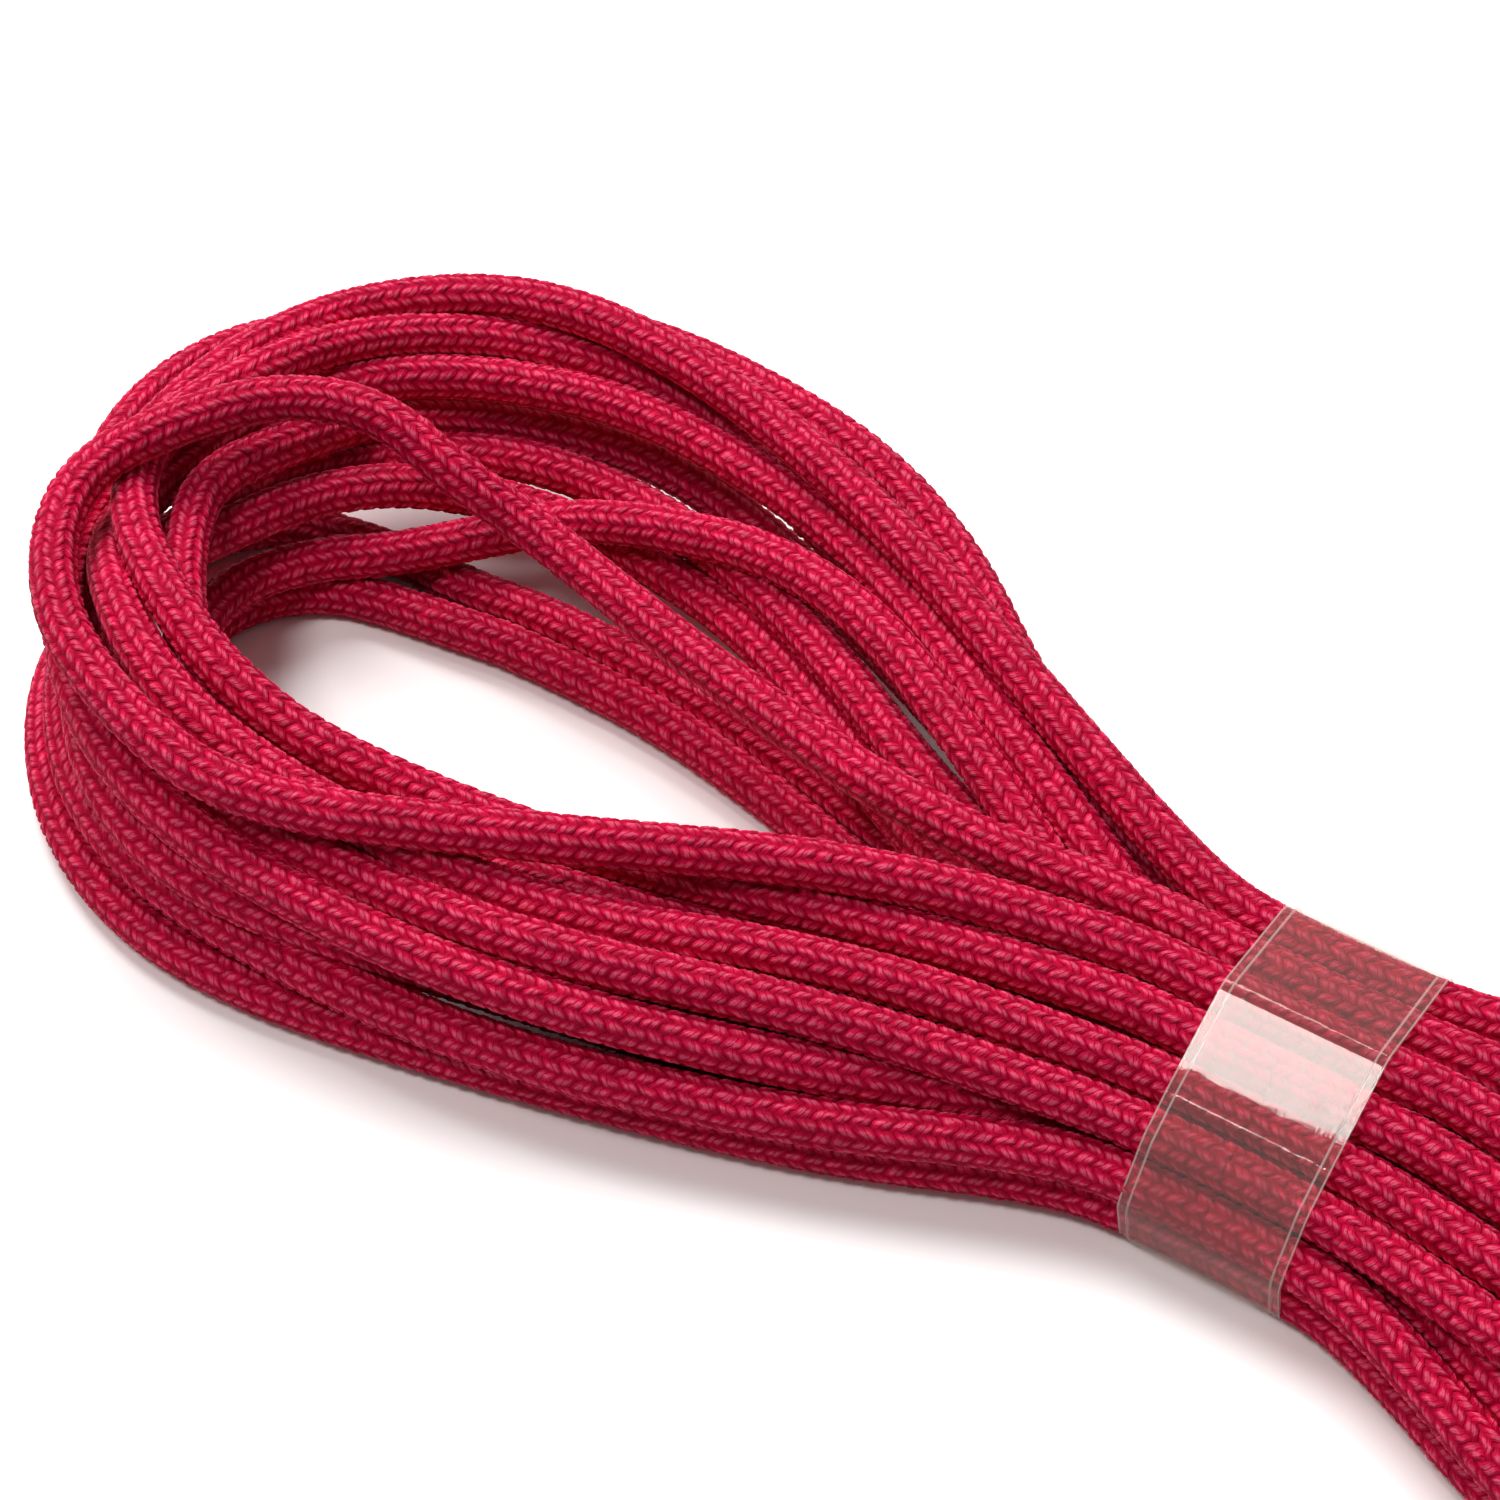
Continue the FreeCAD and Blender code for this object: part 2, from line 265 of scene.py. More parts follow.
def spline_weights(count, steps):
    """What each control point weighs in each sample of an order 3 spline that ends at its end points."""
    spans = count - 2
    knots = np.clip(np.arange(-2, spans + 3), 0, spans).astype(float)
    weights = np.zeros((spans * steps + 1, count))
    for row, t in enumerate(np.linspace(0, spans, spans * steps + 1)):
        first = min(int(t), spans - 1)
        a, b, c, d = knots[first + 1:first + 5]
        rise = (t - b) / (c - b)
        in_first = (c - t) / (c - a) * (1 - rise)
        in_last = (t - b) / (d - b) * rise
        weights[row, first:first + 3] = in_first, 1 - in_first - in_last, in_last
    return weights


def settle(points):
    """Lets the turns push each other apart and off the floor until they lie on each other, pressed half a
    millimetre into each other's braid.

    The samples of the spline do the pushing, and a sample's push moves the control points that hold it. A
    light pull brings each point back to where the photograph shows it. The tape holds the turns at the waist,
    and the free ends stay where the solids have them.
    """
    weights = spline_weights(len(points), SETTLE_STEPS)
    share = weights.sum(axis=0)[:, None]
    start = points.copy()
    free = (np.abs(points[:, 0]) > WAIST_REACH + 1).astype(float)[:, None]
    free[:2] = free[-2:] = 0.0

    def bend(line):
        out = np.zeros_like(line)
        out[2:-2] = -(line[:-4] - 4 * line[1:-3] + 6 * line[2:-2] - 4 * line[3:-1] + line[4:]) / 16
        return out

    first_bend = bend(start)
    for _ in range(SETTLE_ROUNDS):
        samples = weights @ points
        tree = kdtree.KDTree(len(samples))
        for i, sample in enumerate(samples):
            tree.insert(sample, i)
        tree.balance()
        push = np.zeros_like(samples)
        hits = np.zeros(len(samples))
        for i, sample in enumerate(samples):
            for other, j, distance in tree.find_range(sample, CLOSEST):
                if abs(i - j) > SETTLE_STEPS * OWN_SPANS:
                    away = sample - np.array(other)
                    push[i] += away * (CLOSEST - distance) / (distance + 1e-6) / 2
                    hits[i] += 1
        low = samples[:, 2] < LOWEST
        push[low, 2] += LOWEST - samples[low, 2]
        hits[low] += 1
        push /= np.sqrt(np.maximum(hits, 1))[:, None]
        unbend = STIFFNESS * (bend(points) - first_bend)
        points = points + free * (weights.T @ push / share + unbend + PULL_BACK * (start - points))
    return points


def make_line(points):
    """The rope's line as a NURBS curve of one spline."""
    curve = bpy.data.curves.new("rope_inner_wall", "CURVE")
    curve.dimensions = "3D"
    spline = curve.splines.new("NURBS")
    spline.points.add(len(points) - 1)
    for point, place in zip(spline.points, points):
        point.co = (*(place * MM), 1.0)
    spline.order_u = 3
    spline.use_endpoint_u = True
    line = bpy.data.objects.new("rope_inner_wall", curve)
    bpy.context.collection.objects.link(line)
    return line


def read_line(line, resolution):
    """Points along a curve's own line, in order from its first control point."""
    line.data.resolution_u = resolution
    bpy.context.view_layer.update()
    mesh = bpy.data.meshes.new_from_object(line)
    flat = np.zeros(len(mesh.vertices) * 3)
    mesh.vertices.foreach_get("co", flat)
    bpy.data.meshes.remove(mesh)
    return flat.reshape(-1, 3)


def evenly(points, step):
    """Points on the same line, a step apart, and its length."""
    along = np.concatenate([[0.0], np.cumsum(np.linalg.norm(np.diff(points, axis=0), axis=1))])
    count = int(along[-1] / step)
    places = np.arange(count + 1) * (along[-1] / count)
    return np.stack([np.interp(places, along, points[:, i]) for i in range(3)], axis=1), along[-1]


def directions(points):
    """For each point of a line, two directions across it that don't twist about it."""
    ahead = np.gradient(points, axis=0)
    ahead /= np.linalg.norm(ahead, axis=1)[:, None]
    side = np.zeros_like(points)
    across = np.cross(ahead[0], (0.0, 0.0, 1.0))
    side[0] = across / np.linalg.norm(across)
    for i in range(1, len(points)):
        across = side[i - 1] - ahead[i] * (side[i - 1] @ ahead[i])
        side[i] = across / np.sqrt(across @ across)
    return side, np.cross(ahead, side)


# The braided sheath

def wale_drift(along):
    """How far the wales have turned about the rope, in radians: a braid never runs quite straight."""
    return sum(swing * np.sin(along / length + start) for swing, length, start in WALE_SWINGS)


def braid_height(around, along):
    """Height of the braid over its deepest point, in mm, at a place counted in wales round and stitches
    along.

    Each carrier lays a bundle of two yarns, which passes over two bundles and under two, so the bundles of
    one direction lie on top in every other wale. Where both directions meet, the higher one shows. No two
    stitches are pulled down quite alike.
    """
    lift = FLOAT_LIFT * np.sin(np.pi * around)
    lean = YARN_LEAN * around
    wale = np.floor(around).astype(int) % WALES
    heights = []
    for seed, place, lifted in ((1, along - lean + BUNDLE_OFFSET, lift), (2, along + lean, -lift)):
        slack = np.random.default_rng(seed).normal(0.0, SLACK, (SLACK_ROWS, WALES))
        loose = slack[np.floor(2 * place).astype(int) % SLACK_ROWS, wale]
        in_bundle = place % 1.0
        in_yarn = 2 * place % 1.0
        bundle = 4 * BUNDLE_ROUNDNESS * in_bundle * (1 - in_bundle)
        yarn = 4 * YARN_ROUNDNESS * in_yarn * (1 - in_yarn)
        heights.append(lifted + bundle + yarn + loose)
    return np.maximum(*heights)


def make_sheath(name, centre, side, up, first_ring):
    """A length of the braided sheath round part of the rope's line, with its ends closed.

    A yarn moves on by one ring at each column, and each quad is cut along the yarn that lies on top there,
    so edges of the mesh follow the crest and the groove of every yarn.
    """
    rings, columns = len(centre), WALES * STEPS_PER_WALE
    ring = np.arange(rings)[:, None] + first_ring
    column = np.arange(columns)[None, :]
    height = braid_height(column / STEPS_PER_WALE + 0.0 * ring, ring / STEPS_PER_STITCH + 0.0 * column)
    deepest = CREST_RADIUS - BRAID_DEPTH
    radius = (deepest + height) * MM
    angle = 2 * np.pi * column / columns + wale_drift(ring * STITCH / STEPS_PER_STITCH)
    out = np.cos(angle)[..., None] * side[:, None] + np.sin(angle)[..., None] * up[:, None]
    verts = (centre[:, None] + radius[..., None] * out).reshape(-1, 3)

    # A quad has its corners a and b on one ring, and d and e beside them on the next.
    quads = np.arange((rings - 1) * columns)
    r, c = quads // columns, quads % columns
    a = r * columns + c
    b = r * columns + (c + 1) % columns
    d, e = a + columns, b + columns
    rising = (c // STEPS_PER_WALE) % 2 == 0
    first = np.where(rising[:, None], np.stack([a, b, e], 1), np.stack([a, b, d], 1))
    second = np.where(rising[:, None], np.stack([a, e, d], 1), np.stack([b, e, d], 1))
    triangles = np.stack([first, second], axis=1).reshape(-1, 3)

    u = np.stack([c, c + 1, c, c + 1], 1) / STEPS_PER_WALE
    v = (np.stack([r, r, r + 1, r + 1], 1) + first_ring % STEPS_PER_STITCH) / STEPS_PER_STITCH
    corners_first = np.where(rising[:, None], [[0, 1, 3]], [[0, 1, 2]])
    corners_second = np.where(rising[:, None], [[0, 3, 2]], [[1, 3, 2]])
    corners = np.stack([corners_first, corners_second], axis=1).reshape(-1, 3)
    quad = np.repeat(quads, 2)[:, None]
    uv = np.stack([u[quad, corners], v[quad, corners]], axis=2).reshape(-1, 2)

    ends = [np.arange(columns)[::-1], np.arange(columns) + (rings - 1) * columns]
    mesh = bpy.data.meshes.new(name)
    mesh.vertices.add(len(verts))
    mesh.vertices.foreach_set("co", verts.ravel())
    mesh.loops.add(len(triangles) * 3 + 2 * columns)
    mesh.loops.foreach_set("vertex_index", np.concatenate([triangles.ravel(), *ends]).astype(np.int32))
    mesh.polygons.add(len(triangles) + 2)
    starts = np.concatenate([np.arange(len(triangles)) * 3, len(triangles) * 3 + np.array([0, columns])])
    mesh.polygons.foreach_set("loop_start", starts.astype(np.int32))
    layer = mesh.uv_layers.new(name="braid")
    uv = np.concatenate([uv, np.zeros((2 * columns, 2))])
    layer.uv.foreach_set("vector", uv.astype(np.float32).ravel())
    mesh.update()
    mesh.validate()
    mesh.shade_smooth()
    sheath = bpy.data.objects.new(name, mesh)
    bpy.context.collection.objects.link(sheath)
    return sheath


# Materials

def braided_polyamide():
    """Dyed crimson polyamide sheath yarn, braided two over two: matt bundles of fine filaments. Its colour is
    painted paler where a bundle crowns, a painted highlight, and deep red where it dives under the next,
    painted shade. Each stitch takes the dye a little differently.

    The pattern is worked out from the same numbers as the braid's relief, with stitches that wander a little
    from their places, about every 2.4 mm.
    """
    material, tree, output = new_material("braided_polyamide")
    position = add(tree, "ShaderNodeTexCoord").outputs["Object"]
    wander = add(
        tree, "ShaderNodeTexNoise", {"Vector": position, "Scale": 0.42 / MM, "Detail": 1.0}
    ).outputs["Color"]
    centred = add(
        tree, "ShaderNodeVectorMath", {0: wander, 1: (0.5, 0.5, 0.5)}, operation="SUBTRACT"
    ).outputs[0]
    ideal = add(tree, "ShaderNodeUVMap", uv_map="braid").outputs[0]
    place = add(
        tree, "ShaderNodeVectorMath", {0: centred, 1: (0.65, 0.6, 0.0), 2: ideal}, operation="MULTIPLY_ADD"
    ).outputs[0]
    split = add(tree, "ShaderNodeSeparateXYZ", {0: place})
    around, along = split.outputs[0], split.outputs[1]
    wale = add(tree, "ShaderNodeMath", {0: around}, operation="FLOOR").outputs[0]

    turned = add(tree, "ShaderNodeMath", {0: around, 1: math.pi}, operation="MULTIPLY").outputs[0]
    wave = add(tree, "ShaderNodeMath", {0: turned}, operation="SINE").outputs[0]
    shifted = add(tree, "ShaderNodeMath", {0: along, 1: BUNDLE_OFFSET}, operation="ADD").outputs[0]
    rising = add(
        tree, "ShaderNodeMath", {0: around, 1: -YARN_LEAN, 2: shifted}, operation="MULTIPLY_ADD"
    ).outputs[0]
    falling = add(
        tree, "ShaderNodeMath", {0: around, 1: YARN_LEAN, 2: along}, operation="MULTIPLY_ADD"
    ).outputs[0]
    heights, phases, stitches = [], [], []
    for line, lift in ((rising, FLOAT_LIFT), (falling, -FLOAT_LIFT)):
        height = add(tree, "ShaderNodeMath", {0: wave, 1: lift}, operation="MULTIPLY").outputs[0]
        for count, roundness in ((1.0, BUNDLE_ROUNDNESS), (2.0, YARN_ROUNDNESS)):
            counted = add(tree, "ShaderNodeMath", {0: line, 1: count}, operation="MULTIPLY").outputs[0]
            phase = add(tree, "ShaderNodeMath", {0: counted}, operation="FRACT").outputs[0]
            rest = add(tree, "ShaderNodeMath", {0: 1.0, 1: phase}, operation="SUBTRACT").outputs[0]
            dome = add(tree, "ShaderNodeMath", {0: phase, 1: rest}, operation="MULTIPLY").outputs[0]
            height = add(
                tree, "ShaderNodeMath", {0: dome, 1: 4 * roundness, 2: height}, operation="MULTIPLY_ADD"
            ).outputs[0]
        number = add(tree, "ShaderNodeMath", {0: counted}, operation="FLOOR").outputs[0]
        heights.append(height)
        phases.append(phase)
        stitches.append(add(tree, "ShaderNodeCombineXYZ", {0: number, 1: wale, 2: lift}).outputs[0])
    height = add(tree, "ShaderNodeMath", {0: heights[0], 1: heights[1]}, operation="MAXIMUM").outputs[0]
    on_top = add(tree, "ShaderNodeMath", {0: heights[0], 1: heights[1]}, operation="GREATER_THAN").outputs[0]
    phase = add(tree, "ShaderNodeMix", {0: on_top, 2: phases[1], 3: phases[0]}, data_type="FLOAT").outputs[0]
    stitch = add(
        tree, "ShaderNodeMix", {0: on_top, 4: stitches[1], 5: stitches[0]}, data_type="VECTOR"
    ).outputs[1]
    chance = add(tree, "ShaderNodeTexWhiteNoise", {"Vector": stitch}, noise_dimensions="3D").outputs["Value"]

    # A yarn is drawn as three strands of filaments, and its filaments as coarse as 0.4 mm, so that they show.
    spread = add(tree, "ShaderNodeMath", {0: phase, 1: math.pi * 3}, operation="MULTIPLY").outputs[0]
    ripple = add(tree, "ShaderNodeMath", {0: spread}, operation="SINE").outputs[0]
    ridge = add(tree, "ShaderNodeMath", {0: ripple}, operation="ABSOLUTE").outputs[0]
    filaments = add(
        tree, "ShaderNodeTexNoise", {"Vector": position, "Scale": 2.4 / MM, "Detail": 2.0}
    ).outputs[0]
    patches = add(
        tree, "ShaderNodeTexNoise", {"Vector": position, "Scale": 0.055 / MM, "Detail": 3.0}
    ).outputs[0]

    # Painted light: the colour follows the braid's height, from painted shade in the grooves to a painted
    # highlight on the crowns.
    depth = add(tree, "ShaderNodeMath", {0: height, 1: BRAID_DEPTH}, operation="DIVIDE").outputs[0]
    uneven = add(
        tree, "ShaderNodeMath", {0: filaments, 1: 0.3, 2: -0.15}, operation="MULTIPLY_ADD"
    ).outputs[0]
    level = add(tree, "ShaderNodeMath", {0: depth, 1: uneven}, operation="ADD").outputs[0]
    painted_highlight_and_shade = add(tree, "ShaderNodeValToRGB", {0: level})
    ramp = painted_highlight_and_shade.color_ramp
    ramp.elements[0].position, ramp.elements[0].color = 0.3, colour("#a0002c")
    ramp.elements[1].position, ramp.elements[1].color = 1.0, colour("#e6607e")
    for where, code in ((0.52, "#bb0035"), (0.76, "#cf1043")):
        ramp.elements.new(where).color = colour(code)
    # How strong the dye is at least, and how much more of it each stitch and patch may take. The same sum
    # makes each strand lighter along its middle and darker in the grooves beside it: painted highlight and
    # painted shade.
    strength = 1.0
    for chosen, least, more in ((chance, 0.82, 0.36), (ridge, 0.84, 0.24), (patches, 0.85, 0.3)):
        taken = add(
            tree, "ShaderNodeMath", {0: chosen, 1: more, 2: least}, operation="MULTIPLY_ADD"
        ).outputs[0]
        strength = add(tree, "ShaderNodeMath", {0: strength, 1: taken}, operation="MULTIPLY").outputs[0]
    dye_and_painted_light = add(
        tree, "ShaderNodeVectorMath", {0: painted_highlight_and_shade.outputs[0], "Scale": strength}, operation="SCALE"
    ).outputs[0]

    # Bump adds to the relief of the mesh: nearly half of the braid's height again, and strands and hairs on it.
    hairs = add(tree, "ShaderNodeMath", {0: filaments, 1: 0.07}, operation="MULTIPLY").outputs[0]
    fine = add(tree, "ShaderNodeMath", {0: ridge, 1: 0.05, 2: hairs}, operation="MULTIPLY_ADD").outputs[0]
    relief = add(tree, "ShaderNodeMath", {0: height, 1: 0.45, 2: fine}, operation="MULTIPLY_ADD").outputs[0]
    bump = add(tree, "ShaderNodeBump", {"Height": relief, "Distance": MM, "Strength": 1.0})
    cloth = add(
        tree,
        "ShaderNodeBsdfPrincipled",
        {
            "Base Color": dye_and_painted_light,
            "Roughness": 0.6,
            "IOR": 1.53,
            "Specular IOR Level": 0.07,
            "Normal": bump.outputs[0],
        },
    )
    tree.links.new(cloth.outputs[0], output.inputs[0])
    return material


def painted_shade_polyamide():
    """The inner face of the sheath: the same crimson polyamide yarn, matt, painted dark as painted shade."""
    material, tree, output = new_material("painted_shade_polyamide")
    position = add(tree, "ShaderNodeTexCoord").outputs["Object"]
    weave = add(tree, "ShaderNodeTexVoronoi", {"Vector": position, "Scale": 0.9 / MM}).outputs[0]
    tint = add(tree, "ShaderNodeValToRGB", {0: weave})
    tint.color_ramp.elements[0].color = colour("#6e0d26")
    tint.color_ramp.elements[1].color = colour("#3a0412")
    cloth = add(tree, "ShaderNodeBsdfPrincipled", {"Base Color": tint.outputs[0], "Roughness": 0.8})
    tree.links.new(cloth.outputs[0], output.inputs[0])
    return material


def twisted_yarn(name, light, dark, lay):
    """Fine polyamide filaments twisted into a round yarn: soft and matt, with a slanting line at each twist,
    lay millimetres apart."""
    material, tree, output = new_material(name)
    position = add(tree, "ShaderNodeTexCoord").outputs["Object"]
    slant = add(tree, "ShaderNodeMapping", {"Vector": position, "Rotation": (0.0, 0.5, 0.6)}).outputs[0]
    # A wave texture of scale 1 has a band every pi / 10.
    bands = add(
        tree, "ShaderNodeTexWave", {"Vector": slant, "Scale": math.pi / 10 / (lay * MM), "Distortion": 1.5}
    )
    tint = add(tree, "ShaderNodeValToRGB", {0: bands.outputs["Fac"]})
    tint.color_ramp.elements[0].color = colour(dark)
    tint.color_ramp.elements[1].color = colour(light)
    bump = add(tree, "ShaderNodeBump", {"Height": bands.outputs["Fac"], "Distance": 0.1 * MM})
    cloth = add(
        tree,
        "ShaderNodeBsdfPrincipled",
        {
            "Base Color": tint.outputs[0],
            "Roughness": 0.7,
            "Sheen Weight": 0.3,
            "Normal": bump.outputs[0],
        },
    )
    tree.links.new(cloth.outputs[0], output.inputs[0])
    return material


def clear_film(name, tint, strength, lines_per_mm):
    """Clear polypropylene film, rolled and drawn: all but invisible face on, with a hard mirror shine where
    it is taut, fine draw lines along the strip, fifteen times as long as they are apart, and small dents
    where it lies on the rope. Its bump tilts it down over the outer turns on the near side, as if bent
    there. Only its outer face mirrors."""
    material, tree, output = new_material(name)
    position = add(tree, "ShaderNodeTexCoord").outputs["Object"]
    drawn = add(tree, "ShaderNodeMapping", {"Vector": position, "Scale": (1.0, 1 / 15, 1 / 15)}).outputs[0]
    lines = add(
        tree, "ShaderNodeTexNoise", {"Vector": drawn, "Scale": lines_per_mm / MM, "Detail": 2.0}
    ).outputs[0]
    dents = add(
        tree, "ShaderNodeTexNoise", {"Vector": position, "Scale": 0.42 / MM, "Detail": 1.0}
    ).outputs[0]
    drawn_lines = add(
        tree, "ShaderNodeMath", {0: lines, 1: DRAW_DEPTH * strength}, operation="MULTIPLY"
    ).outputs[0]
    dented = add(
        tree, "ShaderNodeMath", {0: dents, 1: DENT_DEPTH * strength, 2: drawn_lines}, operation="MULTIPLY_ADD"
    ).outputs[0]
    lengthwise, across = add(tree, "ShaderNodeSeparateXYZ", {0: position}).outputs[:2]
    bent = add(
        tree, "ShaderNodeMapRange", {0: across, 1: BEND_START * MM, 2: BEND_END * MM, 3: 0.0, 4: 1.0}
    ).outputs[0]
    dip = add(tree, "ShaderNodeMath", {0: bent, 1: 2.0}, operation="POWER").outputs[0]
    surface = add(
        tree, "ShaderNodeMath", {0: dip, 1: -BEND_DEPTH, 2: dented}, operation="MULTIPLY_ADD"
    ).outputs[0]
    bump = add(tree, "ShaderNodeBump", {"Height": surface, "Distance": MM, "Strength": 1.0})
    through = add(tree, "ShaderNodeBsdfTransparent", {"Color": colour(tint)}).outputs[0]
    shine = add(
        tree,
        "ShaderNodeBsdfGlossy",
        {"Color": (1.0, 0.97, 0.91, 1.0), "Roughness": 0.05, "Normal": bump.outputs[0]},
    ).outputs[0]
    mirrored = add(tree, "ShaderNodeFresnel", {"IOR": 1.46, "Normal": bump.outputs[0]}).outputs[0]
    inside = add(tree, "ShaderNodeNewGeometry").outputs["Backfacing"]
    outer = add(tree, "ShaderNodeMath", {0: 1.0, 1: inside}, operation="SUBTRACT").outputs[0]
    share = add(tree, "ShaderNodeMath", {0: mirrored, 1: outer}, operation="MULTIPLY").outputs[0]
    film = add(tree, "ShaderNodeMixShader", {0: share, 1: through, 2: shine}).outputs[0]

    # The film is a little hazy, and the cut edges of both layers of the tape catch the light.
    on_edge = 0.0
    for edge in FILM_EDGES:
        near_edge = add(
            tree, "ShaderNodeMath", {0: lengthwise, 1: edge * MM, 2: EDGE_REACH * MM}, operation="COMPARE"
        ).outputs[0]
        on_edge = add(tree, "ShaderNodeMath", {0: near_edge, 1: on_edge}, operation="MAXIMUM").outputs[0]
    frosted = add(
        tree, "ShaderNodeMath", {0: on_edge, 1: EDGE_VEIL, 2: HAZE}, operation="MULTIPLY_ADD"
    ).outputs[0]
    cut = add(tree, "ShaderNodeBsdfDiffuse", {"Color": colour("#f4e6e2")}).outputs[0]
    whole = add(tree, "ShaderNodeMixShader", {0: frosted, 1: film, 2: cut}).outputs[0]
    tree.links.new(whole, output.inputs[0])
    return material


def melted_nylon():
    """Polyamide melted by a hot knife: dark and glassy, with small runs about every millimetre and a half."""
    material, tree, output = new_material("melted_nylon")
    position = add(tree, "ShaderNodeTexCoord").outputs["Object"]
    runs = add(tree, "ShaderNodeTexNoise", {"Vector": position, "Scale": 0.7 / MM, "Detail": 3.0}).outputs[0]
    tint = add(tree, "ShaderNodeValToRGB", {0: runs})
    tint.color_ramp.elements[0].color = colour("#3d0610")
    tint.color_ramp.elements[1].color = colour("#7a1226")
    bump = add(tree, "ShaderNodeBump", {"Height": runs, "Distance": 0.25 * MM})
    plastic = add(
        tree,
        "ShaderNodeBsdfPrincipled",
        {"Base Color": tint.outputs[0], "Roughness": 0.28, "IOR": 1.53, "Normal": bump.outputs[0]},
    )
    tree.links.new(plastic.outputs[0], output.inputs[0])
    return material


def studio_floor():
    """Matt pale card, which throws two thirds of its light back onto the hank. The camera and the tape's
    mirror see it almost twice as bright as that, and plain white far from the hank, so that it fades into
    the backdrop."""
    material, tree, output = new_material("studio_floor")
    ray = add(tree, "ShaderNodeLightPath").outputs
    seen = add(
        tree, "ShaderNodeMath", {0: ray["Is Camera Ray"], 1: ray["Is Glossy Ray"]}, operation="MAXIMUM"
    ).outputs[0]
    gain = add(tree, "ShaderNodeMix", {0: seen, 2: CARD_RETURNS, 3: CARD_SEEN}, data_type="FLOAT").outputs[0]
    tint = add(tree, "ShaderNodeVectorMath", {0: CARD_TINT, "Scale": gain}, operation="SCALE").outputs[0]
    card = add(tree, "ShaderNodeBsdfDiffuse", {"Color": tint}).outputs[0]
    position = add(tree, "ShaderNodeTexCoord").outputs["Object"]
    distance = add(tree, "ShaderNodeVectorMath", {0: position}, operation="LENGTH").outputs["Value"]
    far = add(
        tree,
        "ShaderNodeMapRange",
        {0: distance, 1: FADE_START, 2: FADE_END, 3: 0.0, 4: 1.0},
        interpolation_type="SMOOTHSTEP",
    ).outputs[0]
    faded = add(tree, "ShaderNodeMath", {0: far, 1: seen}, operation="MULTIPLY").outputs[0]
    backdrop = add(tree, "ShaderNodeEmission", {"Color": (1.0, 1.0, 1.0, 1.0), "Strength": 1.0}).outputs[0]
    whole = add(tree, "ShaderNodeMixShader", {0: faded, 1: card, 2: backdrop}).outputs[0]
    tree.links.new(whole, output.inputs[0])
    return material


def paint(piece, material):
    """Gives a piece its one material."""
    piece.data.materials.clear()
    piece.data.materials.append(material)


# The studio

def make_camera():
    """The camera, where the rope's width and lie say that the photograph was taken from."""
    data = bpy.data.cameras.new("camera")
    data.lens = LENS
    camera = bpy.data.objects.new("camera", data)
    bpy.context.collection.objects.link(camera)
    level = math.cos(EYE_ELEVATION)
    back = Vector((math.sin(EYE_TURN) * level, -math.cos(EYE_TURN) * level, math.sin(EYE_ELEVATION)))
    camera.location = (Vector(LOOK_AT) + back * EYE_DISTANCE) * MM
    camera.rotation_mode = "QUATERNION"
    camera.rotation_quaternion = (-back).to_track_quat("-Z", "Y")
    bpy.context.scene.camera = camera


def make_softbox(name, towards, distance, width, power):
    """A square soft light, in a direction and at a distance from the place that it lights, between the
    photographed loop and the tape."""
    data = bpy.data.lights.new(name, "AREA")
    data.size = width
    data.energy = power
    light = bpy.data.objects.new(name, data)
    bpy.context.collection.objects.link(light)
    way = Vector(towards).normalized()
    light.location = Vector(LIT_PLACE) + way * distance
    light.rotation_mode = "QUATERNION"
    light.rotation_quaternion = way.to_track_quat("Z", "Y")


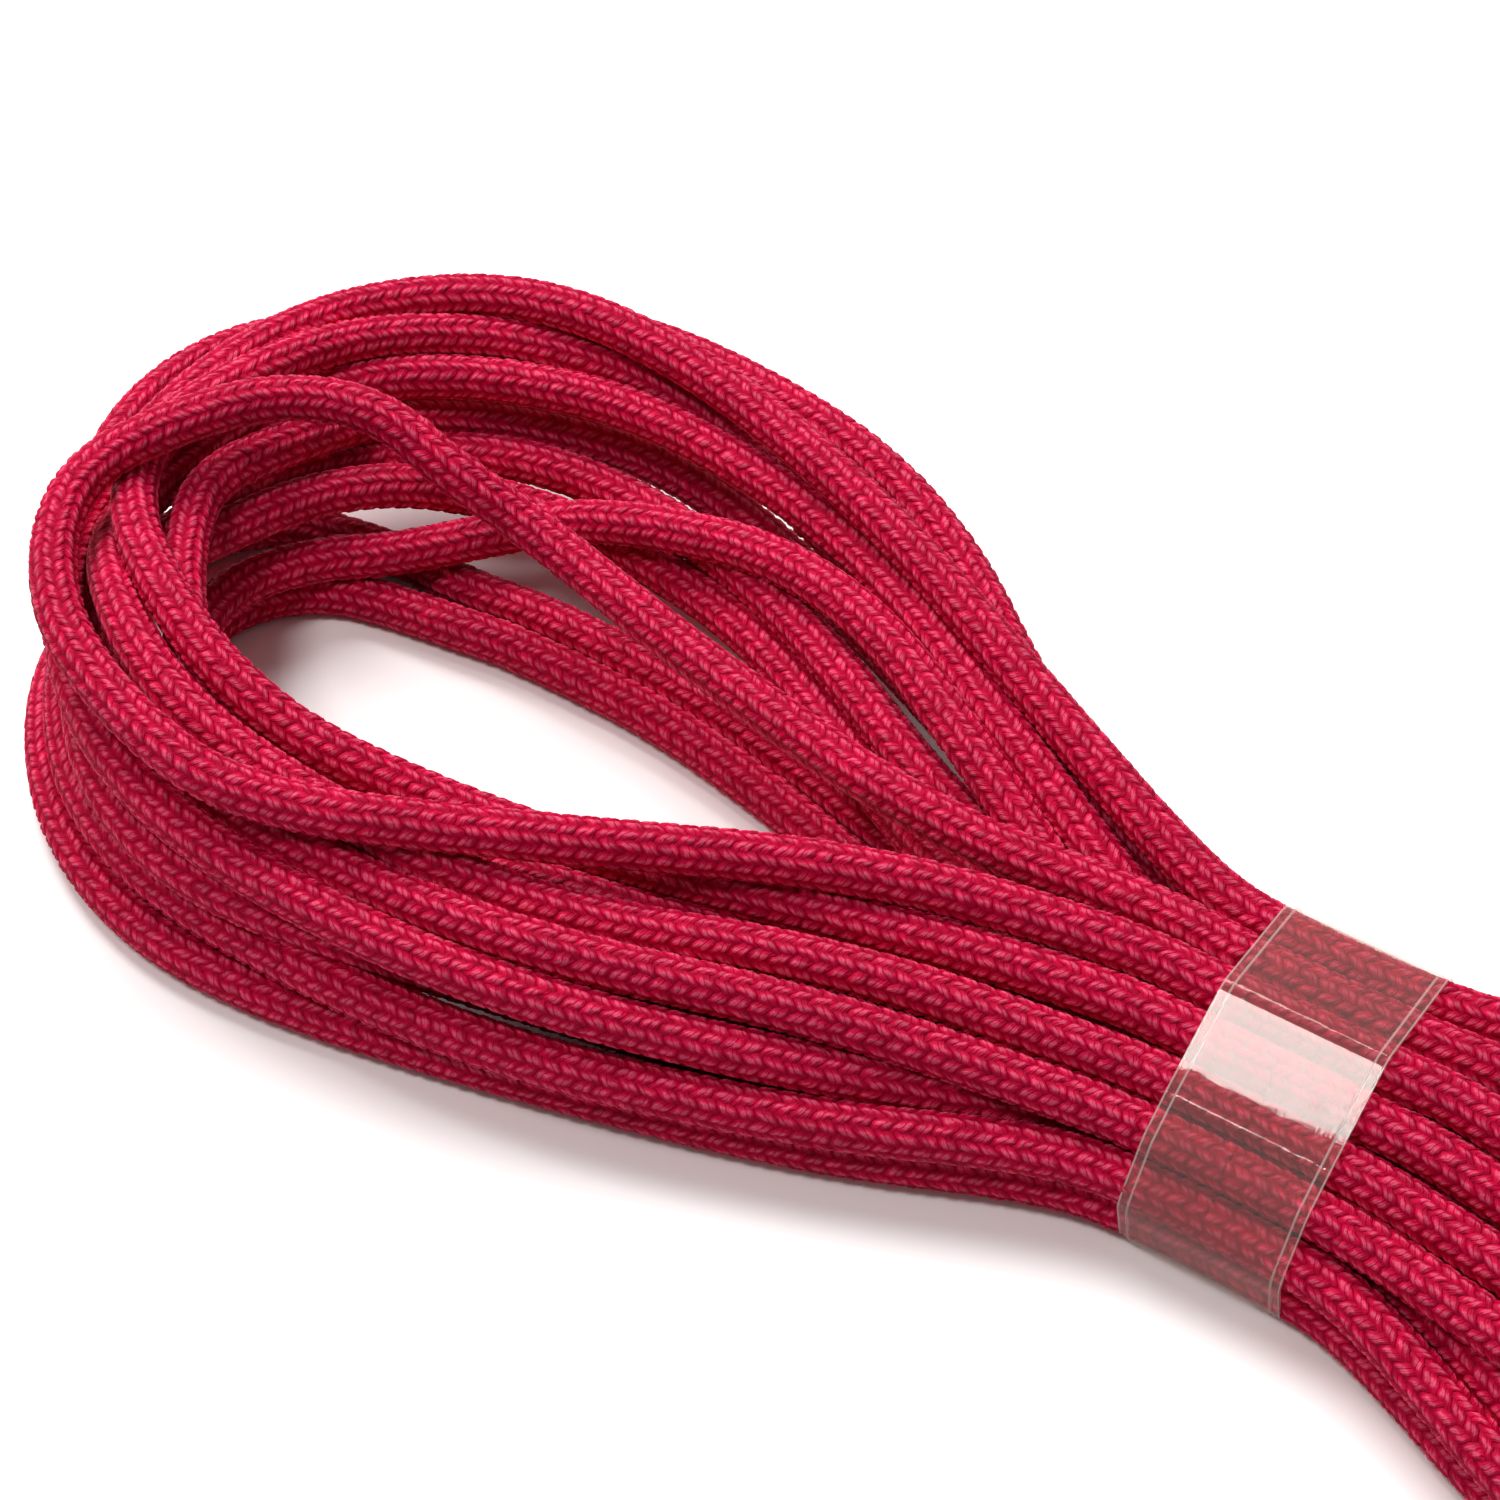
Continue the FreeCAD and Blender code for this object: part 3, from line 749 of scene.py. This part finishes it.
def make_studio():
    """A pale floor, a large soft light from behind the loop, a small one in front that the tape mirrors, and
    a dim room that the camera and the mirrors see as a white backdrop."""
    bpy.ops.mesh.primitive_plane_add(size=FLOOR_WIDTH, location=(0.0, 0.0, 0.0))
    floor = bpy.context.object
    floor.name = "floor"
    paint(floor, studio_floor())
    make_softbox("key_softbox", towards=(-0.5, 0.3, 0.81), distance=1.2, width=0.7, power=13.8)
    make_softbox("front_softbox", towards=(-0.231, -0.389, 0.892), distance=1.1, width=0.24, power=3.3)
    world = bpy.data.worlds.new("studio")
    world.use_nodes = True
    bpy.context.scene.world = world
    tree = world.node_tree
    tree.nodes.clear()
    ray = add(tree, "ShaderNodeLightPath").outputs
    mirrored = add(
        tree, "ShaderNodeMath", {0: ray["Is Camera Ray"], 1: ray["Is Glossy Ray"]}, operation="MAXIMUM"
    ).outputs[0]
    seen = add(
        tree, "ShaderNodeMath", {0: mirrored, 1: ray["Is Transmission Ray"]}, operation="MAXIMUM"
    ).outputs[0]
    room = add(tree, "ShaderNodeBackground", {"Color": (1.0, 0.98, 0.97, 1.0), "Strength": 0.16}).outputs[0]
    white = add(tree, "ShaderNodeBackground", {"Color": (1.0, 1.0, 1.0, 1.0), "Strength": 1.0}).outputs[0]
    shown = add(tree, "ShaderNodeMixShader", {0: seen, 1: room, 2: white}).outputs[0]
    add(tree, "ShaderNodeOutputWorld", {0: shown})
    bpy.context.scene.view_settings.view_transform = "Standard"


make_camera()
make_studio()

rope_line = make_line(settle(rope_points()))
centres, rope_length = evenly(read_line(rope_line, READ_RESOLUTION), STITCH / STEPS_PER_STITCH * MM)
side_ways, up_ways = directions(centres)

rope_line.data.resolution_u = WALL_RESOLUTION
rope_line.data.bevel_depth = INNER_WALL_RADIUS * MM
rope_line.data.bevel_resolution = 2
rope_line.data.use_fill_caps = True
# The inner wall is painted dark crimson: painted shade under the braid, which shows in its deepest grooves.
paint(rope_line, painted_shade_polyamide())

# The sheath is made in lengths that meet under the tape, where a turn comes to the waist on the near side.
sheath_material = braided_polyamide()
crossings = np.nonzero((centres[:-1, 0] > 0) & (centres[1:, 0] <= 0))[0]
cuts = [0, *crossings[1:], len(centres) - 1]
sheaths = []
for number, (start, end) in enumerate(zip(cuts, cuts[1:]), start=1):
    part = slice(start, end + 1)
    sheath = make_sheath(f"braided_sheath_{number}", centres[part], side_ways[part], up_ways[part], start)
    paint(sheath, sheath_material)
    sheaths.append(sheath)

white_yarn = twisted_yarn("white_core_yarn", light="#f1efe9", dark="#b9b4aa", lay=15.08)
blue_yarn = twisted_yarn("blue_tracer_yarn", light="#3f78c4", dark="#1c3f7d", lay=7.54)
film = clear_film("clear_packing_film", tint="#f6eeec", strength=0.5, lines_per_mm=2.4)
sleeve_film = clear_film("clear_shrink_film", tint="#efe6e4", strength=0.8, lines_per_mm=3.6)
melted = melted_nylon()
for name, node in nodes.items():
    if name.startswith("core_yarn"):
        paint(node, white_yarn)
    elif name.startswith("tracer"):
        paint(node, blue_yarn)
    elif name.startswith("fused_tip"):
        paint(node, melted)
    elif name.startswith("end_sleeve"):
        paint(node, sleeve_film)
paint(nodes["tape_band"], film)

for sheath in sheaths:
    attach(sheath, "root")
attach(rope_line, "root")
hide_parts("hank", "sheath_a")
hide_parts("sheath_b")
